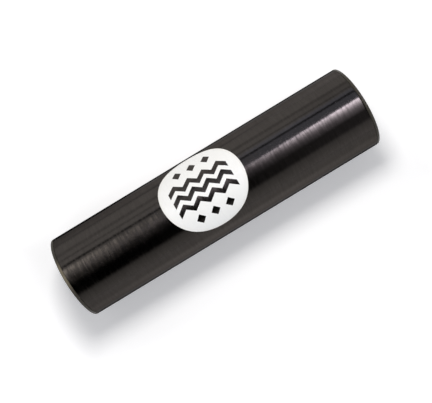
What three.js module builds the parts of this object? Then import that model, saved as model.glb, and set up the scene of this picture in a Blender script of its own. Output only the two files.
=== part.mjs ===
// Tube shaker, a hand percussion instrument: a brushed metal tube, closed at both ends by pressed-in
// caps, holds loose steel shot. It lies on its side with its round badge uppermost.
//
// Units are millimetres. X runs along the tube and Z is up. The front of the shaker is towards -Y.
// The origin is on the surface that the tube lies on, under the middle of its length.

import * as THREE from "three";

// Tube
const TUBE_DIAMETER = 44;
const TUBE_WALL = 1.2;
const TUBE_LENGTH = 163.7;
const TUBE_EDGE_CHAMFER = 0.2;

// End cap's flange, which covers the tube's end and is flush with its wall
const SEAM_GAP = 0.2;
const FLANGE_CHAMFER = 0.2;
const FLANGE_BAND = 0.65;
const FLANGE_ROUNDING = 0.6;
const END_WALL = 1.5;

// End cap's hollow plug, which grips the bore with barbed rings
const PLUG_CLEARANCE = 0.1;
const PLUG_WALL = 1.3;
const PLUG_NECK = 2;
const PLUG_LEAD_IN = 0.6;
const PLUG_FILLET = 1;
const BARB_COUNT = 2;
const BARB_HEIGHT = 0.3;
const BARB_LENGTH = 1.2;
const BARB_GAP = 1;

// Badge, a blank disc bent round the tube a little to the left of its middle
const BADGE_DIAMETER = 44;
const BADGE_THICKNESS = 0.2;
const BADGE_OFFSET = -4.3;
const BADGE_GLUE = 0.05;

// Shot, steel balls that come to rest in three rows along the bottom of the bore
const SHOT_DIAMETER = 4.8;
const SHOT_CLEARANCE = 0.15;
const CENTRE_ROW_COUNT = 18;

// Facets of the round shapes
const ROUND_FACETS = 72;
const CORNER_STEPS = 3;
const BADGE_STRIPS = 40;
const SHOT_DETAIL = 3;

// Sizes that follow
const TUBE_RADIUS = TUBE_DIAMETER / 2;
const BORE_RADIUS = TUBE_RADIUS - TUBE_WALL;
const PLUG_RADIUS = BORE_RADIUS - PLUG_CLEARANCE - BARB_HEIGHT;
const PLUG_DEPTH = PLUG_NECK + BARB_COUNT * (BARB_LENGTH + BARB_GAP) + PLUG_LEAD_IN;
const FACET_ANGLE = (2 * Math.PI) / ROUND_FACETS;
// A faceted round has its true radius across the flats, and its corners stand this much further out.
const CORNER_SCALE = 1 / Math.cos(FACET_ANGLE / 2);

const TUBE_METAL = new THREE.MeshStandardMaterial({ color: 0x2b2927, roughness: 0.32, metalness: 0.7 });
const CAP_PLASTIC = new THREE.MeshStandardMaterial({ color: 0x242220, roughness: 0.4, metalness: 0 });
const BADGE_INK = new THREE.MeshStandardMaterial({ color: 0xf1f0ec, roughness: 0.45, metalness: 0 });
const SHOT_STEEL = new THREE.MeshStandardMaterial({ color: 0xa8abad, roughness: 0.25, metalness: 1 });

function piece(name, geometry, material) {
  const mesh = new THREE.Mesh(geometry, material);
  mesh.name = name;
  return mesh;
}

// Turns [radius, distance along X] points round the X axis, with a flat facet at the top and the bottom.
function revolve(profile) {
  const points = profile.map(([radius, along]) => new THREE.Vector2(radius * CORNER_SCALE, along));
  const round = new THREE.LatheGeometry(points, ROUND_FACETS, FACET_ANGLE / 2, 2 * Math.PI);
  return round.rotateZ(-Math.PI / 2);
}

// Profile points on a quarter circle. Angle 0 points away from the axis, and a right angle points along X.
function quarterArc(centreRadius, centreAlong, arcRadius, startAngle, endAngle) {
  return Array.from({ length: CORNER_STEPS + 1 }, (_, step) => {
    const angle = startAngle + ((endAngle - startAngle) * step) / CORNER_STEPS;
    return [centreRadius + arcRadius * Math.cos(angle), centreAlong + arcRadius * Math.sin(angle)];
  });
}

// The tube is open at both ends, and its rims are lightly chamfered inside and out.
function makeTube() {
  const half = TUBE_LENGTH / 2;
  const edge = Math.min(TUBE_EDGE_CHAMFER, TUBE_WALL / 3);
  const profile = [
    [BORE_RADIUS, -half + edge],
    [BORE_RADIUS + edge, -half],
    [TUBE_RADIUS - edge, -half],
    [TUBE_RADIUS, -half + edge],
    [TUBE_RADIUS, half - edge],
    [TUBE_RADIUS - edge, half],
    [BORE_RADIUS + edge, half],
    [BORE_RADIUS, half - edge],
    [BORE_RADIUS, -half + edge],
  ];
  return piece("tube", revolve(profile), TUBE_METAL);
}

// A barb slopes up towards the flange and drops back square, so it slides in easily and then grips.
function barbProfile(index) {
  const crest = -PLUG_NECK - index * (BARB_LENGTH + BARB_GAP);
  return [
    [PLUG_RADIUS, crest - BARB_LENGTH],
    [PLUG_RADIUS + BARB_HEIGHT, crest],
    [PLUG_RADIUS, crest],
  ];
}

// The cap's section, from the middle of its inner face round the plug and the flange to its outer face.
// The tube's end is at 0, and outside the instrument is towards plus.
function capProfile() {
  const roundingStart = SEAM_GAP + FLANGE_CHAMFER + FLANGE_BAND;
  const outerFace = roundingStart + FLANGE_ROUNDING;
  const innerFace = outerFace - END_WALL;
  const hollowRadius = PLUG_RADIUS - PLUG_WALL;
  const barbs = Array.from({ length: BARB_COUNT }, (_, index) => barbProfile(BARB_COUNT - 1 - index));
  return [
    [0, innerFace],
    ...quarterArc(hollowRadius - PLUG_FILLET, innerFace - PLUG_FILLET, PLUG_FILLET, Math.PI / 2, 0),
    [hollowRadius, -PLUG_DEPTH],
    [PLUG_RADIUS - PLUG_LEAD_IN, -PLUG_DEPTH],
    [PLUG_RADIUS, -PLUG_DEPTH + PLUG_LEAD_IN],
    ...barbs.flat(),
    [PLUG_RADIUS, SEAM_GAP],
    [TUBE_RADIUS - FLANGE_CHAMFER, SEAM_GAP],
    [TUBE_RADIUS, SEAM_GAP + FLANGE_CHAMFER],
    ...quarterArc(TUBE_RADIUS - FLANGE_ROUNDING, roundingStart, FLANGE_ROUNDING, 0, Math.PI / 2),
    [0, outerFace],
  ];
}

// The same cap closes both ends. The left one is turned end for end.
function makeCap(name, side) {
  const cap = piece(name, revolve(capProfile()), CAP_PLASTIC);
  cap.position.x = (side * TUBE_LENGTH) / 2;
  cap.rotation.z = side > 0 ? 0 : Math.PI;
  return cap;
}

// The badge is made of strips that run along the tube, each as long as the disc is wide there.
// They meet at edges wrapped round the tube, at equal steps round the disc's rim.
function makeBadge() {
  const discRadius = BADGE_DIAMETER / 2;
  const innerRadius = TUBE_RADIUS * CORNER_SCALE + BADGE_GLUE;
  const outerRadius = innerRadius + BADGE_THICKNESS;
  const section = [[innerRadius, -1], [innerRadius, 1], [outerRadius, 1], [outerRadius, -1]];
  const positions = [];
  for (let edge = 0; edge < BADGE_STRIPS; edge++) {
    const turn = (Math.PI * (edge + 0.5)) / BADGE_STRIPS - Math.PI / 2;
    const wrap = (discRadius * Math.sin(turn)) / TUBE_RADIUS;
    for (const [radius, side] of section) {
      positions.push(side * discRadius * Math.cos(turn), radius * Math.sin(wrap), radius * Math.cos(wrap));
    }
  }
  const faces = [0, 1, 2, 0, 2, 3];
  for (let edge = 0; edge < BADGE_STRIPS - 1; edge++) {
    for (let corner = 0; corner < 4; corner++) {
      const here = 4 * edge + corner;
      const beside = 4 * edge + ((corner + 1) % 4);
      faces.push(here, here + 4, beside, beside, here + 4, beside + 4);
    }
  }
  const last = 4 * (BADGE_STRIPS - 1);
  faces.push(last, last + 2, last + 1, last, last + 3, last + 2);
  const geometry = new THREE.BufferGeometry();
  geometry.setAttribute("position", new THREE.Float32BufferAttribute(positions, 3));
  geometry.setIndex(faces);
  geometry.computeVertexNormals();
  const badge = piece("badge_disc", geometry, BADGE_INK);
  badge.position.x = BADGE_OFFSET;
  return badge;
}

// A row of balls along the bore. Its angle is measured from the lowest line, up towards the back.
function makeShotRow(name, count, pitch, pathRadius, angle) {
  const row = new THREE.Group();
  for (let index = 0; index < count; index++) {
    const ball = new THREE.OctahedronGeometry(SHOT_DIAMETER / 2, SHOT_DETAIL);
    const mesh = piece(`${name}_${String(index + 1).padStart(2, "0")}`, ball, SHOT_STEEL);
    const along = (index - (count - 1) / 2) * pitch;
    mesh.position.set(along, pathRadius * Math.sin(angle), -pathRadius * Math.cos(angle));
    row.add(mesh);
  }
  return row;
}

// The centre row lies on the bore's lowest line. The front and back rows nest against it, half a pitch
// along, so that each of their balls is one pitch from the two that it nests between.
function makeShot() {
  const pitch = SHOT_DIAMETER + SHOT_CLEARANCE;
  const pathRadius = BORE_RADIUS - SHOT_CLEARANCE - SHOT_DIAMETER / 2;
  const rowSpacing = pitch * Math.sin(Math.PI / 3);
  const rowAngle = 2 * Math.asin(rowSpacing / 2 / pathRadius);
  const shot = new THREE.Group();
  shot.add(
    makeShotRow("shot_centre", CENTRE_ROW_COUNT, pitch, pathRadius, 0),
    makeShotRow("shot_front", CENTRE_ROW_COUNT - 1, pitch, pathRadius, -rowAngle),
    makeShotRow("shot_back", CENTRE_ROW_COUNT - 1, pitch, pathRadius, rowAngle),
  );
  return shot;
}

const shaker = new THREE.Group();
shaker.position.z = TUBE_RADIUS;
shaker.add(makeTube(), makeCap("left_end_cap", -1), makeCap("right_end_cap", 1), makeBadge(), makeShot());

export default shaker;
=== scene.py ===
# Looks of a tube shaker, a hand percussion instrument: a black brushed tube with moulded end caps, a
# printed badge and loose steel shot inside. Units are metres. X runs along the tube and Z is up.

import math

import bmesh
import bpy
from mathutils import Matrix, Vector


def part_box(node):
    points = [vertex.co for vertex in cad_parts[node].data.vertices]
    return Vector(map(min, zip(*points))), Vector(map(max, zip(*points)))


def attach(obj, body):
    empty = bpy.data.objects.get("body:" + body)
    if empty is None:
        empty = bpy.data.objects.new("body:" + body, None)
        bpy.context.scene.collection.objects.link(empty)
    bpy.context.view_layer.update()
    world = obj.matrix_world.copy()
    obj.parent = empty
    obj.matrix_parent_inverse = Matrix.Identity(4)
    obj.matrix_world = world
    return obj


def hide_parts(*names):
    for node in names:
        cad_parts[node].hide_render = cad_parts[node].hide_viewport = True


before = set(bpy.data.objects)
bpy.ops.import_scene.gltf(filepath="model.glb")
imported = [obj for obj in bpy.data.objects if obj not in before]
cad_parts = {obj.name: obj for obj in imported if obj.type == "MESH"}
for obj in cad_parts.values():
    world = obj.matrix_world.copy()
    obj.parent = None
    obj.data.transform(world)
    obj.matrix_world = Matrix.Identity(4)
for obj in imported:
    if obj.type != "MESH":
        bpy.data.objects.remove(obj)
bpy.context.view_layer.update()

# Sizes of the tube. The highest corner of the CAD tube gives its half length and its radius.
tube_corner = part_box("tube")[1]
TUBE_HALF_LENGTH = tube_corner.x
TUBE_RADIUS = tube_corner.y
TUBE_WALL = 0.0012
BORE_RADIUS = TUBE_RADIUS - TUBE_WALL
TUBE_RIM_ROUNDING = 0.0002
TUBE_RING_INSET = 3 * TUBE_RIM_ROUNDING

# Sizes of the end caps. The flange covers the tube's end, and the plug is pressed into the bore.
CAP_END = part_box("right_end_cap")[1].x
SEAM_GAP = 0.0002
FLANGE_INNER_ROUNDING = 0.0002
FLANGE_OUTER_ROUNDING = 0.0006
END_WALL = 0.0015
BARB_COUNT = 2
BARB_HEIGHT = 0.0003
BARB_LENGTH = 0.0012
BARB_PITCH = 0.0022
PLUG_CLEARANCE = 0.0001
PLUG_WALL = 0.0013
PLUG_NECK = 0.002
PLUG_LEAD_IN = 0.0006
PLUG_FILLET = 0.001
PLUG_RADIUS = BORE_RADIUS - PLUG_CLEARANCE - BARB_HEIGHT
PLUG_DEPTH = PLUG_NECK + BARB_COUNT * BARB_PITCH + PLUG_LEAD_IN

# Sizes of the badge, a thin disc bent round the tube
badge_low, badge_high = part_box("badge_disc")
BADGE_MIDDLE = (badge_low.x + badge_high.x) / 2
BADGE_RADIUS = 0.022
BADGE_GLUE = 0.00005
BADGE_THICKNESS = 0.0002
BADGE_EDGE_ROUNDING = 0.00008

# The pattern on the badge: bare zigzag lines across its middle, and a row of bare diamonds above and
# below them
ZIGZAG_PITCH = 0.008
ZIGZAG_SLOPE = 0.75
ZIGZAG_LINE = 0.0023
ZIGZAG_SPACING = 0.0053
ZIGZAG_HALF_LENGTH = 0.016
DIAMOND_ROW = 0.0128
DIAMOND_REACH = 0.0025
PATTERN_SOFTNESS = 0.00004

# How finely the round pieces are made, which edges stay sharp, and what counts as the same place
ROUND_STEPS = 256
BADGE_STEPS = 128
BADGE_RINGS = 30
RIM_SEGMENTS = 3
FILLET_SEGMENTS = 4
FLANGE_SEGMENTS = 8
SHOT_SUBDIVISIONS = 3
SHARP_ANGLE = math.radians(40)
SHOT_SHARP_ANGLE = math.radians(80)
MERGE_DISTANCE = 1e-7
SAME_PLACE = 1e-6

# The photograph's viewpoint. The offsets shift the camera sideways and up in its own view.
VIEW_CENTRE = Vector((0, 0, TUBE_RADIUS))
VIEW_ELEVATION = math.radians(77.5)
VIEW_ROLL = math.radians(31.219)
VIEW_DISTANCE = 0.32355
VIEW_OFFSET = (0.000409, -0.004929)
VIEW_LENS = 52.868
VIEW_SENSOR = 36
VIEW_NEAREST = 0.01

# Colours
WHITE = (1, 1, 1, 1)
ANODISED_BLACK = (0.056, 0.050, 0.046, 1)
ANODISED_EDGE_ON = (0.47, 0.47, 0.47, 1)
BARE_ALUMINIUM = (0.30, 0.275, 0.235, 1)
CAP_BLACK = (0.047, 0.042, 0.034, 1)
CAP_SCUFFED = (0.072, 0.065, 0.054, 1)
CAP_PAINTED_GLINT = (0.19, 0.165, 0.12, 1)
BADGE_WHITE = (0.92, 0.92, 0.912, 1)
BADGE_YELLOWED = (0.84, 0.815, 0.76, 1)
STEEL = (0.58, 0.585, 0.59, 1)
TARNISHED_STEEL = (0.36, 0.345, 0.33, 1)
SCRATCHED_STEEL = (0.8, 0.8, 0.8, 1)

# A ramp is written as where it starts and ends, followed by its levels there if they aren't 0 and 1.
# step() follows it smoothly, and slope() in a straight line.

# The brushing: a line's width and length, how far it tips the surface along the tube and leans it round
# the tube, and the shift that places the lines, counted in widths and lengths. Strokes are the deeper
# lines. How strong they are, and how deep all lines are, changes in patches and along the tube.
BRUSHING = {"width": 0.0007, "length": 0.007, "tip": 0.5, "lean": 0.03}
HAIRLINE_SHIFT = (11.0, 4.07, 0.0)
LINE_CONTRAST = (0.28, 0.72)
LINE_SHADES = (0.0, 1.0, 0.88, 1.12)
LINE_ROUGHNESS = (0.0, 1.0, 0.11, 0.15)
STROKE_CONTRAST = (0.46, 0.60)
STROKE_TIP = 0.05
PATCH_SCALE = 110.0
NOISE_MIDDLE = 0.5
STROKES_IN_PATCHES = (0.3, 0.7, 0.6, 1.0)
STROKES_ALONG = (-0.01, -0.052, 0.1, 1.0)
DEPTH_IN_PATCHES = (0.3, 0.7, 0.75, 0.95)
DEPTH_ALONG = (-0.03, 0.02, 0.85, 0.38)

# Marks of handling. Each set of fine scratches has its turn and its own pattern of noise.
SMUDGE_CONTRAST = (0.38, 0.68)
SCRATCH_CONTRAST = (0.70, 0.78)
SCRATCH_THINNESS = (1.0, 22.0, 22.0)
SCRATCH_SETS = (((0.5, 0.5, 0.3), 0.0), ((-0.9, -0.9, -0.54), 3.0))

# Wear of the ends: how far from the middle it starts, and over what distance it grows
TUBE_WEAR_START = TUBE_HALF_LENGTH - 0.00025
TUBE_WEAR_FADE = 0.0004
CAP_WEAR_START = CAP_END - 0.0005
CAP_WEAR_FADE = 0.0005
CAP_WEAR_SHARE = 0.3
CAP_SCRATCH_SHARE = 0.5
WEAR_RAGGEDNESS = 420.0

# Grain and pits
CAP_GRAIN_SCALE = 3200.0
CAP_GRAIN_DEPTH = 0.00003
STEEL_PIT_SCALE = 2600.0
STEEL_PIT_DEPTH = 0.00002

# Roughness of the clean surfaces
CAP_ROUGHNESS = 0.42
INK_ROUGHNESS = 0.36
BARE_SHAPES_ROUGHNESS = 0.18
STEEL_ROUGHNESS = 0.14

# A painted highlight on the top of the left cap's edge, standing for a glint, and how much it shows in the
# grain's pits and on its peaks
GLINT_PATCH_END = (-0.080, -0.081)
GLINT_PATCH_HEIGHT = (0.0395, 0.0410)
GLINT_PATCH_FRONT = (-0.013, -0.003)
GLINT_PATCH_BACK = (0.008, 0.001)
GLINT_IN_GRAIN = (0.0, 1.0, 0.6, 1.1)

# Print on the badge: how wide its yellowed edge is, how much the edge and the smudges are yellowed, and
# how much metal shows in the deepest lines
YELLOWED_EDGE = 0.0022
EDGE_YELLOWING = 0.35
SMUDGE_YELLOWING = 0.10
INK_WORN_IN_LINES = (0.0, 0.35, 0.05, 0.0)

# The lamp that casts the shadow
KEY_TILT_BACK = math.radians(19)
KEY_TILT_RIGHT = math.radians(7)
KEY_DISTANCE = 0.295
KEY_SIZE = (0.088, 0.108)
KEY_POWER = 0.615
KEY_COLOUR = (1.0, 0.985, 0.965)

# The floor, whose ramps go by distance: along the tube, or towards the back
FLOOR_REACH = 3.0
FLOOR_COLOUR = (0.95, 0.95, 0.95, 1)
FLOOR_GLOW_COLOUR = (0.96, 0.96, 1.0, 1)
FRONT_GLOW = (-0.100, -0.050, 0.0, 0.57)
FRONT_GLOW_BESIDE = (0.035, 0.080, 1.05, 0.78)
FAR_FRONT_GLOW = (-0.08, -0.25, 0.1, 0.38)
BACK_GLOW_LEFT = (-0.09, -0.03, 0.0, 0.35)
BACK_GLOW_RIGHT = (0.07, 0.13, 0.0, 0.40)
FAR_BACK_GLOW = (0.06, 0.25, 0.0, 0.28)
FRONT_TO_BACK = (-0.01, 0.01)

# Painted shade on the floor under the tube, a dark patch that only reflections see, whose back edge lies
# further back on the left
REFLECTED_SHADE_COLOUR = (0.02, 0.02, 0.02, 1)
SHADE_PATCH_FRONT = (-0.033, -0.025)
SHADE_PATCH_BACK = (0.068, 0.056)
SHADE_PATCH_BACK_SHIFT = (-0.060, -0.030, 0.003, 0.011)
SHADE_PATCH_ENDS = (0.12, 0.10)

# The light that lifts the floor to white for the camera. It grows away from near the lamp's foot, as the
# lamp's own light on the floor falls off, and away from the shadow.
LIFT_FROM_FOOT = (0.17, 0.28, 0.26, 0.91)
LIFT_PAST_SHADOW = (0.0, 0.015, 1.0, 1.32)
LIFT_FAR_OUT = (0.02, 0.07, 0.0, 1.5)
SHADOW_HALF_LENGTH = 0.100
SHADOW_HALF_WIDTH = 0.034
SHADOW_MIDDLE = -0.008

# The tent, in degrees: round the tube from straight up, where a positive angle is towards the back, or
# sideways, where a positive one is towards the right
FRONT_WALL = (-90, -60, 0.74, 0.40)
FRONT_WALL_TOP = (-53, -66)
ROOF = (-14, 5, 0.0, 0.86)
ROOF_FRONT = (-30, -10, 0.0, 0.14)
ROOF_SIDEWAYS = (-10, -3, 0.86, 0.62)
BACK_WALL_TOP = (18, 24)
RIGHT_SHADE = (66, 55, 0.0, 0.22)
RIGHT_SHADE_SIDEWAYS = (9.5, 12.5)
LEFT_SHADE = (80, 112, 0.0, 0.36)
LEFT_SHADE_SIDEWAYS = (-6, -11)
GAP_GLOW_SIDEWAYS = (-3, 6, 0.0, 0.09)
GAP_GLOW_BOTTOM = (-68, -58)
GAP_GLOW_TOP = (4, 0)

# Folds in the tent: each one's middle, and its shadow's ramp from there to either side
TENT_FOLDS = (
    (24.7, (1.86, 4.03, 0.12, 1)),
    (41, (1.38, 2.99, 0.58, 1)),
    (59, (2.7, 5.85, 0.7, 1)),
)

# The part of the tent with bluish light, on the right
BLUISH_TINT = (0.97, 1.05, 1.28, 1)
BLUISH_SIDEWAYS = (-3, 6)
BLUISH_FRONT = (-6, 4)
BLUISH_BACK = (40, 30)

# The bright lamp on the right. It fades towards the front and towards the middle, each by a power, and
# its side towards the middle sits a little further to the front.
RIGHT_LAMP_COLOUR = (0.92, 0.885, 1.03)
RIGHT_LAMP_STRENGTH = 18.6
RIGHT_LAMP_SHIFT = (5, 14, 1.8, -0.1)
RIGHT_LAMP_FADE = (-21, 1)
RIGHT_LAMP_FADE_POWER = 2.2
RIGHT_LAMP_HALO = (-33, -17, 0.008, 0.105)
RIGHT_LAMP_BACK = (4.8, 1.4)
RIGHT_LAMP_NEAR_SIDE = (-4, 16)
RIGHT_LAMP_NEAR_SIDE_POWER = 2.7
RIGHT_LAMP_FAR_SIDE = (25, 20)

# The weak lamp on the left, with a dim glow in front of it. Sideways it grows in two stretches.
LEFT_LAMP_COLOUR = (1.0, 0.96, 0.9)
LEFT_LAMP_FRONT = (1, 12)
LEFT_LAMP_BACK = (19, 15)
LEFT_LAMP_HALO = (-28, -7, 0.0, 0.185)
LEFT_LAMP_HALO_BACK = (12, 0)
LEFT_LAMP_NEAR_SIDE = (-5, -16, 0.0, 0.82)
LEFT_LAMP_MIDDLE = (-14, -27, 0.0, 2.9)
LEFT_LAMP_FAR_SIDE = (-72, -50)

# The light that lights the object and isn't for reflections: from low in front, and from elsewhere
FRONT_FILL = (1.39, 1.42, 1.48, 1)
UPPER_FILL = (0.20, 0.20, 0.20, 1)
FILL_CHANGE = (-60, -42)


# Shader helpers


def node(tree, kind, values=None, **options):
    """Adds a shader node. values maps its inputs to constants or to the outputs that feed them."""
    made = tree.nodes.new("ShaderNode" + kind)
    for option, choice in options.items():
        setattr(made, option, choice)
    for key, value in (values or {}).items():
        if isinstance(value, bpy.types.NodeSocket):
            tree.links.new(value, made.inputs[key])
        else:
            made.inputs[key].default_value = value
    return made


def maths(tree, operation, *values):
    """The result of a Math node."""
    return node(tree, "Math", dict(enumerate(values)), operation=operation).outputs[0]


def product(tree, result, *factors):
    """All the values multiplied together."""
    for factor in factors:
        result = maths(tree, "MULTIPLY", result, factor)
    return result


def total(tree, result, *terms):
    """The sum of all the values."""
    for term in terms:
        result = maths(tree, "ADD", result, term)
    return result


def off_middle(tree, value, middle):
    """How far a value is from the middle, to either side."""
    return maths(tree, "ABSOLUTE", maths(tree, "SUBTRACT", value, middle))


def vector_maths(tree, operation, *values):
    """The result of a Vector Math node that gives a vector."""
    return node(tree, "VectorMath", dict(enumerate(values)), operation=operation).outputs[0]


def scaled(tree, vector, amount):
    """A vector or a colour times a number."""
    return node(tree, "VectorMath", {0: vector, "Scale": amount}, operation="SCALE").outputs[0]


def step(tree, value, start, end, low=0.0, high=1.0):
    """Goes smoothly from low to high while value goes from start to end."""
    values = {"Value": value, "From Min": start, "From Max": end, "To Min": low, "To Max": high}
    return node(tree, "MapRange", values, interpolation_type="SMOOTHSTEP").outputs[0]


def slope(tree, value, start, end, low=0.0, high=1.0):
    """Goes in a straight line from low to high while value goes from start to end."""
    values = {"Value": value, "From Min": start, "From Max": end, "To Min": low, "To Max": high}
    return node(tree, "MapRange", values).outputs[0]


def mix_colour(tree, share, first, second, blend_type="MIX"):
    """Mixes two colours, all first at a share of 0 and all second at 1."""
    values = {0: share, 6: first, 7: second}
    return node(tree, "Mix", values, data_type="RGBA", blend_type=blend_type).outputs[2]


def mix_value(tree, share, first, second):
    """Mixes two numbers, all first at a share of 0 and all second at 1."""
    return node(tree, "Mix", {0: share, 2: first, 3: second}).outputs[0]


def object_place(tree):
    """The place on the object, in metres."""
    return node(tree, "TexCoord").outputs["Object"]


def split(tree, place):
    """The three parts of a place or a direction: along the tube, towards the back, and up."""
    return node(tree, "SeparateXYZ", {0: place}).outputs


def noise(tree, place, scale, detail):
    """Plain noise from 0 to 1."""
    return node(tree, "TexNoise", {"Vector": place, "Scale": scale, "Detail": detail}).outputs[0]


def effect(name, inputs, outputs):
    """An empty node group. Returns the group, its input node's outputs and its output node's inputs."""
    group = bpy.data.node_groups.new(name, "ShaderNodeTree")
    for socket, default in inputs.items():
        made = group.interface.new_socket(socket, in_out="INPUT", socket_type="NodeSocketFloat")
        made.default_value = default
    for socket, kind in outputs.items():
        group.interface.new_socket(socket, in_out="OUTPUT", socket_type="NodeSocket" + kind)
    given = group.nodes.new("NodeGroupInput").outputs
    wanted = group.nodes.new("NodeGroupOutput").inputs
    return group, given, wanted


def use(tree, group, **values):
    """Places an effect in a material. Its inputs are given with underscores for spaces."""
    placed = tree.nodes.new("ShaderNodeGroup")
    placed.node_tree = group
    for socket, value in values.items():
        placed.inputs[socket.replace("_", " ").capitalize()].default_value = value
    return placed.outputs


def start_material(name, constants):
    """A new material whose one shader has its constant inputs set. Returns it, its tree and the shader."""
    material = bpy.data.materials.new(name)
    material.use_nodes = True
    tree = material.node_tree
    shader = tree.nodes["Principled BSDF"]
    for socket, value in constants.items():
        shader.inputs[socket].default_value = value
    return material, tree, shader


def feed(tree, shader, **sockets):
    """Links outputs to the shader's inputs, which are named with underscores for spaces."""
    for socket, output in sockets.items():
        tree.links.new(output, shader.inputs[socket.replace("_", " ")])


def coloured(tree, colour, other, mask, most):
    """Turns a colour towards another in a mask. most is the other's share where the mask is 1."""
    return mix_colour(tree, product(tree, mask, most), colour, other)


def dulled(tree, roughness, mask, most):
    """Adds to a roughness in a mask. most is what it adds where the mask is 1."""
    return total(tree, product(tree, mask, most), roughness)


# Effects that several materials use


def make_hairlines():
    """Fine lines brushed round the tube. Each tips the surface a little along the tube, more so in the
    deeper strokes, and hardly leans it round the tube. The strokes are strongest on the left."""
    group, given, wanted = effect(
        "hairlines",
        {"Width": 0.001, "Length": 0.01, "Tip": 0.1, "Lean": 0.02},
        {"Lines": "Float", "Strokes": "Float", "Normal": "Vector"})
    place = object_place(group)
    per_width = maths(group, "DIVIDE", 1.0, given["Width"])
    per_length = maths(group, "DIVIDE", 1.0, given["Length"])
    spread = node(group, "CombineXYZ", {0: per_width, 1: per_length, 2: per_length}).outputs[0]
    stretched = vector_maths(group, "MULTIPLY_ADD", place, spread, HAIRLINE_SHIFT)
    brushed = node(group, "TexNoise", {
        "Vector": stretched, "Scale": 1.0, "Detail": 3.0, "Roughness": 0.62}).outputs["Color"]
    shades, leans, tips = node(group, "SeparateColor", {0: brushed}).outputs
    group.links.new(slope(group, shades, *LINE_CONTRAST), wanted["Lines"])

    patches = noise(group, place, PATCH_SCALE, detail=1.0)
    along = split(group, place)[0]
    strokes = product(group, step(group, tips, *STROKE_CONTRAST),
                      slope(group, patches, *STROKES_IN_PATCHES), step(group, along, *STROKES_ALONG))
    group.links.new(strokes, wanted["Strokes"])

    facing = node(group, "NewGeometry").outputs["Normal"]
    round_the_tube = vector_maths(group, "CROSS_PRODUCT", (1, 0, 0), facing)
    lean = product(group, maths(group, "SUBTRACT", leans, NOISE_MIDDLE), given["Lean"])
    tip = product(group, maths(group, "SUBTRACT", NOISE_MIDDLE, tips), given["Tip"])
    tip = maths(group, "SUBTRACT", tip, product(group, strokes, STROKE_TIP))
    depth = product(group, slope(group, patches, *DEPTH_IN_PATCHES), slope(group, along, *DEPTH_ALONG))
    tipped = node(group, "CombineXYZ", {0: product(group, tip, depth)}).outputs[0]
    tilt = vector_maths(group, "ADD", scaled(group, round_the_tube, lean), tipped)
    tilted = vector_maths(group, "NORMALIZE", vector_maths(group, "ADD", facing, tilt))
    group.links.new(tilted, wanted["Normal"])
    return group


def make_handling_marks():
    """Marks left by hands: soft smudges, and a few fine scratches in two directions."""
    group, given, wanted = effect(
        "handling_marks",
        {"Smudge size": 0.02, "Scratch size": 0.006},
        {"Smudges": "Float", "Scratches": "Float"})
    place = object_place(group)
    smudge_scale = maths(group, "DIVIDE", 1.0, given["Smudge size"])
    smudges = node(group, "TexNoise", {
        "Vector": place, "Scale": smudge_scale, "Detail": 6.0, "Roughness": 0.6}).outputs[0]
    group.links.new(step(group, smudges, *SMUDGE_CONTRAST), wanted["Smudges"])

    scratch_scale = maths(group, "DIVIDE", 1.0, given["Scratch size"])
    scratches = []
    for turn, pattern in SCRATCH_SETS:
        turned = node(group, "Mapping", {"Vector": place, "Rotation": turn}).outputs[0]
        thin = vector_maths(group, "MULTIPLY", turned, SCRATCH_THINNESS)
        lines = node(group, "TexNoise", {
            "Vector": thin, "Scale": scratch_scale, "Detail": 1.0, "W": pattern}, noise_dimensions="4D")
        scratches.append(step(group, lines.outputs[0], *SCRATCH_CONTRAST))
    group.links.new(maths(group, "MAXIMUM", *scratches), wanted["Scratches"])
    return group


def make_rim_wear():
    """Wear towards both ends of the instrument, from a start distance from its middle, with a ragged
    edge."""
    group, given, wanted = effect("rim_wear", {"Start": 0.08, "Fade": 0.001}, {"Wear": "Float"})
    place = object_place(group)
    from_middle = maths(group, "ABSOLUTE", split(group, place)[0])
    ragged = noise(group, place, WEAR_RAGGEDNESS, detail=3.0)
    ragged = maths(group, "SUBTRACT", ragged, NOISE_MIDDLE)
    reach = total(group, from_middle, product(group, ragged, given["Fade"]))
    end = total(group, given["Start"], given["Fade"])
    group.links.new(step(group, reach, given["Start"], end), wanted["Wear"])
    return group


HAIRLINES = make_hairlines()
HANDLING_MARKS = make_handling_marks()
RIM_WEAR = make_rim_wear()


# Materials


def brushed_metal(tree, brushing):
    """The black metal's colour, a little lighter or darker from line to line."""
    shade = slope(tree, brushing["Lines"], *LINE_SHADES)
    shades = node(tree, "CombineColor", {0: shade, 1: shade, 2: shade}).outputs[0]
    return mix_colour(tree, 1.0, ANODISED_BLACK, shades, blend_type="MULTIPLY")


def along_the_tube(tree):
    """The direction along the tube, from the piece's own map. Highlights stretch that way."""
    return node(tree, "Tangent", direction_type="UV_MAP", uv_map="wrap").outputs[0]


def make_brushed_black():
    """Black anodised aluminium, brushed round the tube, with bare metal in its scratches and rims."""
    material, tree, shader = start_material("brushed_black", {
        "Metallic": 1.0, "Specular Tint": ANODISED_EDGE_ON, "Anisotropic": 0.62})
    brushing = use(tree, HAIRLINES, **BRUSHING)
    marks = use(tree, HANDLING_MARKS, smudge_size=0.018, scratch_size=0.012)
    wear = use(tree, RIM_WEAR, start=TUBE_WEAR_START, fade=TUBE_WEAR_FADE)
    colour = coloured(tree, brushed_metal(tree, brushing), BARE_ALUMINIUM, marks["Scratches"], most=0.10)
    colour = coloured(tree, colour, BARE_ALUMINIUM, wear["Wear"], most=0.5)
    roughness = slope(tree, brushing["Lines"], *LINE_ROUGHNESS)
    roughness = dulled(tree, roughness, marks["Smudges"], most=0.03)
    roughness = dulled(tree, roughness, brushing["Strokes"], most=0.11)
    feed(tree, shader, Base_Color=colour, Roughness=roughness, Normal=brushing["Normal"],
         Tangent=along_the_tube(tree))
    return material


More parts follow.
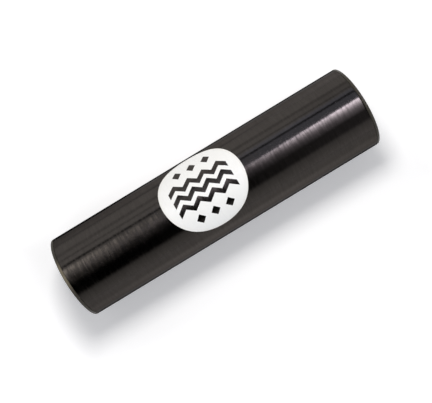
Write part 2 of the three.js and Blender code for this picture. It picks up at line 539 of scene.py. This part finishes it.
def make_cap_plastic():
    """Moulded plastic, warm black, with a fine spark-eroded grain. Its edge is scuffed, and a lighter
    patch on the top of the left cap is a painted highlight."""
    material, tree, shader = start_material("cap_plastic", {"IOR": 1.5, "Specular IOR Level": 0.22})
    marks = use(tree, HANDLING_MARKS, smudge_size=0.009, scratch_size=0.004)
    wear = use(tree, RIM_WEAR, start=CAP_WEAR_START, fade=CAP_WEAR_FADE)
    place = object_place(tree)
    along, back, height = split(tree, place)
    grain = noise(tree, place, CAP_GRAIN_SCALE, detail=2.0)
    # Painted highlight: a lighter patch on the top of the left cap's edge, standing for a glint
    painted_glint = product(tree, step(tree, along, *GLINT_PATCH_END), step(tree, height, *GLINT_PATCH_HEIGHT),
                     step(tree, back, *GLINT_PATCH_FRONT), step(tree, back, *GLINT_PATCH_BACK),
                     slope(tree, grain, *GLINT_IN_GRAIN))
    worn = product(tree, wear["Wear"], CAP_WEAR_SHARE)
    scratched = product(tree, marks["Scratches"], CAP_SCRATCH_SHARE)
    colour = mix_colour(tree, maths(tree, "MAXIMUM", worn, scratched), CAP_BLACK, CAP_SCUFFED)
    colour = mix_colour(tree, painted_glint, colour, CAP_PAINTED_GLINT)
    roughness = dulled(tree, CAP_ROUGHNESS, marks["Smudges"], most=0.08)
    relief = node(tree, "Bump", {"Strength": 0.25, "Distance": CAP_GRAIN_DEPTH, "Height": grain})
    feed(tree, shader, Base_Color=colour, Roughness=roughness, Normal=relief.outputs[0])
    return material


def off_nearest(tree, value, pitch):
    """How far a value is from the nearest of three marks, at zero and at one pitch to each side."""
    mark = maths(tree, "ROUND", maths(tree, "DIVIDE", value, pitch))
    mark = maths(tree, "MAXIMUM", maths(tree, "MINIMUM", mark, 1.0), -1.0)
    return off_middle(tree, value, product(tree, mark, pitch))


def badge_pattern(tree, place):
    """A mask of the bare shapes in the badge, from its flat place: three zigzag lines and two rows of
    diamonds."""
    along, around = split(tree, place)[:2]
    ramp = maths(tree, "PINGPONG", along, ZIGZAG_PITCH / 2)
    zigzag = product(tree, maths(tree, "SUBTRACT", ramp, ZIGZAG_PITCH / 4), ZIGZAG_SLOPE)
    off_line = off_nearest(tree, maths(tree, "SUBTRACT", around, zigzag), ZIGZAG_SPACING)
    off_line = maths(tree, "DIVIDE", off_line, math.hypot(1, ZIGZAG_SLOPE))
    past_line = maths(tree, "SUBTRACT", off_line, ZIGZAG_LINE / 2)
    past_end = maths(tree, "SUBTRACT", maths(tree, "ABSOLUTE", along), ZIGZAG_HALF_LENGTH)
    off_column = off_nearest(tree, along, ZIGZAG_PITCH)
    off_row = off_middle(tree, maths(tree, "ABSOLUTE", around), DIAMOND_ROW)
    past_diamond = maths(tree, "SUBTRACT", total(tree, off_column, off_row), DIAMOND_REACH)
    outside = maths(tree, "MINIMUM", maths(tree, "MAXIMUM", past_line, past_end), past_diamond)
    return step(tree, outside, PATTERN_SOFTNESS, -PATTERN_SOFTNESS)


def make_badge_print():
    """Satin white print, a little yellowed at its edge, with the brushed black tube showing in the bare
    shapes."""
    material, tree, shader = start_material("badge_print", {
        "IOR": 1.45, "Specular IOR Level": 0.4, "Anisotropic": 0.6})
    flat_place = node(tree, "UVMap", uv_map="wrap").outputs[0]
    bare = badge_pattern(tree, flat_place)
    brushing = use(tree, HAIRLINES, **BRUSHING)
    marks = use(tree, HANDLING_MARKS, smudge_size=0.012, scratch_size=0.006)
    radius = node(tree, "VectorMath", {0: flat_place}, operation="LENGTH").outputs["Value"]
    edge = step(tree, radius, BADGE_RADIUS - YELLOWED_EDGE, BADGE_RADIUS)
    yellowed = total(tree, product(tree, edge, EDGE_YELLOWING),
                     product(tree, marks["Smudges"], SMUDGE_YELLOWING))
    ink = mix_colour(tree, yellowed, BADGE_WHITE, BADGE_YELLOWED)
    ink = mix_colour(tree, slope(tree, brushing["Lines"], *INK_WORN_IN_LINES), ink, ANODISED_BLACK)
    ink = coloured(tree, ink, ANODISED_BLACK, marks["Scratches"], most=0.10)
    colour = mix_colour(tree, bare, ink, brushed_metal(tree, brushing))
    roughness = dulled(tree, INK_ROUGHNESS, marks["Smudges"], most=0.08)
    roughness = mix_value(tree, bare, roughness, BARE_SHAPES_ROUGHNESS)
    feed(tree, shader, Base_Color=colour, Metallic=bare, Roughness=roughness, Normal=brushing["Normal"],
         Tangent=along_the_tube(tree))
    return material


def make_shot_steel():
    """Tumbled bright steel, dull in patches where the balls have rubbed on each other."""
    material, tree, shader = start_material("shot_steel", {"Metallic": 1.0})
    marks = use(tree, HANDLING_MARKS, smudge_size=0.0016, scratch_size=0.0011)
    pits = noise(tree, object_place(tree), STEEL_PIT_SCALE, detail=3.0)
    colour = coloured(tree, STEEL, TARNISHED_STEEL, marks["Smudges"], most=0.55)
    colour = coloured(tree, colour, SCRATCHED_STEEL, marks["Scratches"], most=0.6)
    roughness = dulled(tree, STEEL_ROUGHNESS, marks["Smudges"], most=0.16)
    relief = node(tree, "Bump", {"Strength": 0.2, "Distance": STEEL_PIT_DEPTH, "Height": pits})
    feed(tree, shader, Base_Color=colour, Roughness=roughness, Normal=relief.outputs[0])
    return material


# Pieces


def turn_on_lathe(profile, axis, steps):
    """Turns a line of (x, z) points once round an axis."""
    mesh = bmesh.new()
    points = [mesh.verts.new((x, 0, z)) for x, z in profile]
    lines = [mesh.edges.new(pair) for pair in zip(points, points[1:])]
    bmesh.ops.spin(mesh, geom=points + lines, cent=(0, 0, 0), axis=axis, angle=math.tau, steps=steps,
                   use_merge=True)
    bmesh.ops.remove_doubles(mesh, verts=mesh.verts, dist=MERGE_DISTANCE)
    return mesh


def turn_round_tube(profile):
    """Turns a line of (along, radius) points once round the X axis."""
    return turn_on_lathe(profile, (1, 0, 0), ROUND_STEPS)


def on_ring(point, along, radius):
    """Whether a point is at this distance along the X axis and at this radius round it."""
    off_ring = abs(point.x - along) + abs(math.hypot(point.y, point.z) - radius)
    return off_ring < SAME_PLACE


def round_rings(mesh, rings, rounding, segments):
    """Rounds the circular edges at the given (along, radius) places."""
    edges = []
    for edge in mesh.edges:
        if any(all(on_ring(end.co, *ring) for end in edge.verts) for ring in rings):
            edges.append(edge)
    bmesh.ops.bevel(mesh, geom=edges, offset=rounding, segments=segments, profile=0.5, affect="EDGES",
                    material=-1)


def wrap_map(mesh, place_of):
    """Gives the piece a UV map in metres, with its first direction along the tube."""
    layer = mesh.loops.layers.uv.new("wrap")
    for face in mesh.faces:
        for loop in face.loops:
            loop[layer].uv = place_of(loop.vert.co)


def raise_to_axis(mesh):
    """Moves a mesh made round the X axis up to where the tube's axis is."""
    bmesh.ops.translate(mesh, verts=mesh.verts, vec=(0, 0, TUBE_RADIUS))


def add_object(mesh, name, material):
    """Makes the mesh an object of the scene, with one material."""
    data = bpy.data.meshes.new(name)
    mesh.to_mesh(data)
    mesh.free()
    data.materials.append(material)
    made = bpy.data.objects.new(name, data)
    bpy.context.scene.collection.objects.link(made)
    return made


def keep_piece(mesh, name, material, body, cad_node, sharp_angle=SHARP_ANGLE):
    """Makes the mesh a smooth piece that stands for its CAD node and rides on that node's body."""
    bmesh.ops.recalc_face_normals(mesh, faces=mesh.faces)
    piece = add_object(mesh, name, material)
    piece.data.shade_smooth()
    piece.data.set_sharp_from_angle(angle=sharp_angle)
    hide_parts(cad_node)
    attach(piece, body)


def make_tube(material):
    """The open tube, with extra rings near its rims so that the long wall keeps straight shading."""
    end = TUBE_HALF_LENGTH
    near_end = end - TUBE_RING_INSET
    outside = [(place, TUBE_RADIUS) for place in (-end, -near_end, near_end, end)]
    inside = [(place, BORE_RADIUS) for place in (end, near_end, -near_end, -end)]
    mesh = turn_round_tube([(-end, BORE_RADIUS), *outside, *inside])
    rims = [(side * end, radius) for side in (-1, 1) for radius in (BORE_RADIUS, TUBE_RADIUS)]
    round_rings(mesh, rims, TUBE_RIM_ROUNDING, RIM_SEGMENTS)

    def place_of(point):
        # A rim's depth counts as length, so that the map doesn't squeeze its faces to nothing
        inward = TUBE_RADIUS - math.hypot(point.y, point.z)
        return point.x + math.copysign(inward, point.x), TUBE_RADIUS * math.atan2(point.y, point.z)

    wrap_map(mesh, place_of)
    raise_to_axis(mesh)
    keep_piece(mesh, "brushed_tube", material, "shell", "tube")


def make_cap(name, side, cad_node, material):
    """One moulded cap: a flange flush with the tube, and a hollow plug with two barbed rings."""
    outer_face = CAP_END - TUBE_HALF_LENGTH
    inner_face = outer_face - END_WALL
    hollow = PLUG_RADIUS - PLUG_WALL
    barbs = []
    for barb in reversed(range(BARB_COUNT)):
        crest = -PLUG_NECK - barb * BARB_PITCH
        barbs.append((crest - BARB_LENGTH, PLUG_RADIUS))
        barbs.append((crest, PLUG_RADIUS + BARB_HEIGHT))
        barbs.append((crest, PLUG_RADIUS))
    mesh = turn_round_tube([
        (inner_face, 0),
        (inner_face, hollow),
        (-PLUG_DEPTH, hollow),
        (-PLUG_DEPTH, PLUG_RADIUS - PLUG_LEAD_IN),
        (-PLUG_DEPTH + PLUG_LEAD_IN, PLUG_RADIUS),
        *barbs,
        (SEAM_GAP, PLUG_RADIUS),
        (SEAM_GAP, TUBE_RADIUS),
        (outer_face, TUBE_RADIUS),
        (outer_face, 0),
    ])
    round_rings(mesh, [(inner_face, hollow)], PLUG_FILLET, FILLET_SEGMENTS)
    round_rings(mesh, [(SEAM_GAP, TUBE_RADIUS)], FLANGE_INNER_ROUNDING, RIM_SEGMENTS)
    round_rings(mesh, [(outer_face, TUBE_RADIUS)], FLANGE_OUTER_ROUNDING, FLANGE_SEGMENTS)
    bmesh.ops.translate(mesh, verts=mesh.verts, vec=(TUBE_HALF_LENGTH, 0, 0))
    if side < 0:
        end_for_end = Matrix.Rotation(math.pi, 3, "Z")
        bmesh.ops.rotate(mesh, verts=mesh.verts, cent=(0, 0, 0), matrix=end_for_end)
    raise_to_axis(mesh)
    keep_piece(mesh, name, material, "shell", cad_node)


def make_badge(material):
    """A thin round disc with a softened edge, made flat by turning and then bent round the tube."""
    inset = BADGE_RADIUS - BADGE_EDGE_ROUNDING
    rings = [inset * ring / BADGE_RINGS for ring in range(BADGE_RINGS + 1)]
    underside = [(radius, 0) for radius in rings]
    edge = [(BADGE_RADIUS, BADGE_EDGE_ROUNDING), (BADGE_RADIUS, BADGE_THICKNESS - BADGE_EDGE_ROUNDING)]
    face = [(radius, BADGE_THICKNESS) for radius in reversed(rings)]
    mesh = turn_on_lathe(underside + edge + face, (0, 0, 1), BADGE_STEPS)
    wrap_map(mesh, lambda point: (point.x, point.y))
    for point in mesh.verts:
        wrap = point.co.y / TUBE_RADIUS
        radius = TUBE_RADIUS + BADGE_GLUE + point.co.z
        point.co = (point.co.x + BADGE_MIDDLE, radius * math.sin(wrap), radius * math.cos(wrap))
    raise_to_axis(mesh)
    keep_piece(mesh, "printed_badge", material, "shell", "badge_disc")


def make_shot(material):
    """A smooth steel ball in place of each ball of the CAD model, with that ball's middle and radius."""
    for body in ("shot_centre", "shot_front", "shot_back"):
        for cad_node in sorted(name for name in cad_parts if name.startswith(body)):
            lowest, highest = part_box(cad_node)
            mesh = bmesh.new()
            bmesh.ops.create_icosphere(mesh, subdivisions=SHOT_SUBDIVISIONS,
                                       radius=(highest.z - lowest.z) / 2,
                                       matrix=Matrix.Translation((lowest + highest) / 2))
            keep_piece(mesh, "steel_" + cad_node, material, body, cad_node, SHOT_SHARP_ANGLE)


# Studio


def key_direction():
    """The way from the tube's middle to the lamp that casts the shadow, for one metre up."""
    return Vector((math.tan(KEY_TILT_RIGHT), math.tan(KEY_TILT_BACK), 1))


def reflected_shade_patch(tree, along, back):
    """A mask of the painted shade patch on the floor, which only reflections see."""
    back_edge = total(tree, back, slope(tree, along, *SHADE_PATCH_BACK_SHIFT))
    beside = maths(tree, "ABSOLUTE", along)
    return product(tree, step(tree, back_edge, *SHADE_PATCH_BACK), step(tree, back, *SHADE_PATCH_FRONT),
                   step(tree, beside, *SHADE_PATCH_ENDS))


def floor_glow(tree, along, back):
    """How much the floor glows in reflections: near the tube in front of it, and behind it mostly
    towards the right."""
    beside = maths(tree, "ABSOLUTE", along)
    front_glow = product(tree, step(tree, back, *FRONT_GLOW), step(tree, beside, *FRONT_GLOW_BESIDE))
    front_glow = maths(tree, "MAXIMUM", front_glow, slope(tree, back, *FAR_FRONT_GLOW))
    back_glow = total(tree, slope(tree, along, *BACK_GLOW_LEFT), slope(tree, along, *BACK_GLOW_RIGHT))
    back_glow = maths(tree, "MAXIMUM", back_glow, slope(tree, back, *FAR_BACK_GLOW))
    return mix_value(tree, step(tree, back, *FRONT_TO_BACK), front_glow, back_glow)


def floor_lift(tree, place, along, back):
    """How much the floor is lifted towards white for the camera."""
    near_foot = key_direction() * KEY_DISTANCE
    near_foot.z = 0
    off_foot = node(tree, "VectorMath", {0: place, 1: near_foot}, operation="DISTANCE").outputs["Value"]
    past_end = maths(tree, "SUBTRACT", maths(tree, "ABSOLUTE", along), SHADOW_HALF_LENGTH)
    past_side = maths(tree, "SUBTRACT", off_middle(tree, back, SHADOW_MIDDLE), SHADOW_HALF_WIDTH)
    past_shadow = maths(tree, "MAXIMUM", past_end, past_side)
    clear = total(tree, step(tree, past_shadow, *LIFT_PAST_SHADOW), step(tree, past_shadow, *LIFT_FAR_OUT))
    return product(tree, step(tree, off_foot, *LIFT_FROM_FOOT), clear)


def make_floor():
    """A large pale floor. The camera sees it lifted to white outside the shadow. Reflections show it
    glowing, with a patch of painted shade under the tube."""
    material, tree, shader = start_material("floor_paper", {
        "Roughness": 1.0, "Specular IOR Level": 0.0, "Emission Color": FLOOR_GLOW_COLOUR})
    rays = node(tree, "LightPath").outputs
    place = object_place(tree)
    along, back = split(tree, place)[:2]
    # Painted shade: reflections see the floor dark under the tube
    shade_patch = product(tree, reflected_shade_patch(tree, along, back), rays["Is Glossy Ray"])
    glow = product(tree, floor_glow(tree, along, back), maths(tree, "SUBTRACT", 1.0, shade_patch))
    light = total(tree, product(tree, rays["Is Camera Ray"], floor_lift(tree, place, along, back)),
                  product(tree, rays["Is Glossy Ray"], glow))
    colour = mix_colour(tree, shade_patch, FLOOR_COLOUR, REFLECTED_SHADE_COLOUR)
    feed(tree, shader, Base_Color=colour, Emission_Strength=light)
    material.cycles.emission_sampling = "NONE"
    mesh = bmesh.new()
    bmesh.ops.create_grid(mesh, x_segments=1, y_segments=1, size=FLOOR_REACH)
    add_object(mesh, "floor", material)


def make_key_light():
    """A small soft lamp above the tube, towards the back. It casts the shadow. The tube doesn't mirror
    it, and mirrors the painted surroundings instead."""
    lamp = bpy.data.lights.new("soft_key", "AREA")
    lamp.shape = "RECTANGLE"
    lamp.size, lamp.size_y = KEY_SIZE
    lamp.energy = KEY_POWER
    lamp.color = KEY_COLOUR
    key = bpy.data.objects.new("soft_key", lamp)
    key.visible_glossy = False
    towards = key_direction().normalized()
    key.location = VIEW_CENTRE + towards * KEY_DISTANCE
    key.rotation_euler = towards.to_track_quat("Z", "Y").to_euler()
    bpy.context.scene.collection.objects.link(key)


def tent_light(tree, angle, side):
    """The white tent's walls, with a dark gap at the front, where the camera looks in, and folds."""
    front_wall = product(tree, slope(tree, angle, *FRONT_WALL), step(tree, angle, *FRONT_WALL_TOP))
    gap_glow = product(tree, step(tree, side, *GAP_GLOW_SIDEWAYS), step(tree, angle, *GAP_GLOW_BOTTOM),
                       step(tree, angle, *GAP_GLOW_TOP))
    roof = total(tree, step(tree, angle, *ROOF), slope(tree, angle, *ROOF_FRONT))
    roof = product(tree, roof, slope(tree, side, *ROOF_SIDEWAYS))
    right_shade = product(tree, step(tree, side, *RIGHT_SHADE_SIDEWAYS), step(tree, angle, *RIGHT_SHADE))
    left_shade = product(tree, step(tree, side, *LEFT_SHADE_SIDEWAYS), step(tree, angle, *LEFT_SHADE))
    back_wall = maths(tree, "SUBTRACT", maths(tree, "SUBTRACT", 1.0, right_shade), left_shade)
    tent = mix_value(tree, step(tree, angle, *BACK_WALL_TOP), roof, back_wall)
    for middle, shadow in TENT_FOLDS:
        tent = product(tree, tent, step(tree, off_middle(tree, angle, middle), *shadow))
    tent = total(tree, tent, front_wall, gap_glow)
    bluish = product(tree, step(tree, side, *BLUISH_SIDEWAYS), step(tree, angle, *BLUISH_BACK),
                     step(tree, angle, *BLUISH_FRONT))
    return scaled(tree, mix_colour(tree, bluish, WHITE, BLUISH_TINT), tent)


def right_lamp_light(tree, angle, side):
    """The bright lamp on the right, which makes the long highlight there."""
    lamp_angle = total(tree, angle, slope(tree, side, *RIGHT_LAMP_SHIFT))
    fade = maths(tree, "POWER", slope(tree, lamp_angle, *RIGHT_LAMP_FADE), RIGHT_LAMP_FADE_POWER)
    fade = total(tree, fade, slope(tree, angle, *RIGHT_LAMP_HALO))
    near_side = slope(tree, side, *RIGHT_LAMP_NEAR_SIDE)
    light = product(tree, fade, step(tree, lamp_angle, *RIGHT_LAMP_BACK),
                    maths(tree, "POWER", near_side, RIGHT_LAMP_NEAR_SIDE_POWER),
                    step(tree, side, *RIGHT_LAMP_FAR_SIDE), RIGHT_LAMP_STRENGTH)
    return scaled(tree, RIGHT_LAMP_COLOUR, light)


def left_lamp_light(tree, angle, side):
    """The weak lamp on the left, which shows mostly in the brushed strokes."""
    lamp = product(tree, step(tree, angle, *LEFT_LAMP_FRONT), step(tree, angle, *LEFT_LAMP_BACK))
    halo = product(tree, slope(tree, angle, *LEFT_LAMP_HALO), step(tree, angle, *LEFT_LAMP_HALO_BACK))
    reach = total(tree, slope(tree, side, *LEFT_LAMP_NEAR_SIDE), slope(tree, side, *LEFT_LAMP_MIDDLE))
    light = product(tree, total(tree, lamp, halo), reach, step(tree, side, *LEFT_LAMP_FAR_SIDE))
    return scaled(tree, LEFT_LAMP_COLOUR, light)


def make_surroundings():
    """White for the camera, soft fill for the object, and for reflections a white tent with two lamps."""
    world = bpy.data.worlds.new("studio")
    bpy.context.scene.world = world
    world.use_nodes = True
    world.cycles.sampling_method = "NONE"
    tree = world.node_tree
    right, back, up = split(tree, node(tree, "TexCoord").outputs["Generated"])
    angle = maths(tree, "DEGREES", maths(tree, "ARCTAN2", back, up))
    side = maths(tree, "DEGREES", maths(tree, "ARCSINE", right))
    right_lamp = right_lamp_light(tree, angle, side)
    left_lamp = left_lamp_light(tree, angle, side)
    lamps = vector_maths(tree, "ADD", right_lamp, left_lamp)
    mirrored = vector_maths(tree, "ADD", tent_light(tree, angle, side), lamps)
    fill = mix_colour(tree, step(tree, angle, *FILL_CHANGE), FRONT_FILL, UPPER_FILL)
    rays = node(tree, "LightPath").outputs
    shown = mix_colour(tree, rays["Is Glossy Ray"], fill, mirrored)
    shown = mix_colour(tree, rays["Is Camera Ray"], shown, WHITE)
    tree.links.new(shown, tree.nodes["Background"].inputs["Color"])


def make_camera():
    """The photograph's viewpoint: high above the front, rolled so that the tube rises to the right."""
    data = bpy.data.cameras.new("camera")
    data.sensor_width = VIEW_SENSOR
    data.lens = VIEW_LENS
    data.clip_start = VIEW_NEAREST
    camera = bpy.data.objects.new("camera", data)
    towards_camera = Vector((0, -math.cos(VIEW_ELEVATION), math.sin(VIEW_ELEVATION)))
    uphill = Vector((0, math.sin(VIEW_ELEVATION), math.cos(VIEW_ELEVATION)))
    along = Vector((1, 0, 0))
    right = along * math.cos(VIEW_ROLL) - uphill * math.sin(VIEW_ROLL)
    up = along * math.sin(VIEW_ROLL) + uphill * math.cos(VIEW_ROLL)
    camera.matrix_world = Matrix((right, up, towards_camera)).transposed().to_4x4()
    camera.location = (VIEW_CENTRE + towards_camera * VIEW_DISTANCE
                       + right * VIEW_OFFSET[0] + up * VIEW_OFFSET[1])
    bpy.context.scene.collection.objects.link(camera)
    bpy.context.scene.camera = camera


make_camera()
make_floor()
make_key_light()
make_surroundings()
make_tube(make_brushed_black())
cap_plastic = make_cap_plastic()
make_cap("left_cap_moulding", -1, "left_end_cap", cap_plastic)
make_cap("right_cap_moulding", 1, "right_end_cap", cap_plastic)
make_badge(make_badge_print())
make_shot(make_shot_steel())

bpy.context.scene.view_settings.view_transform = "Standard"
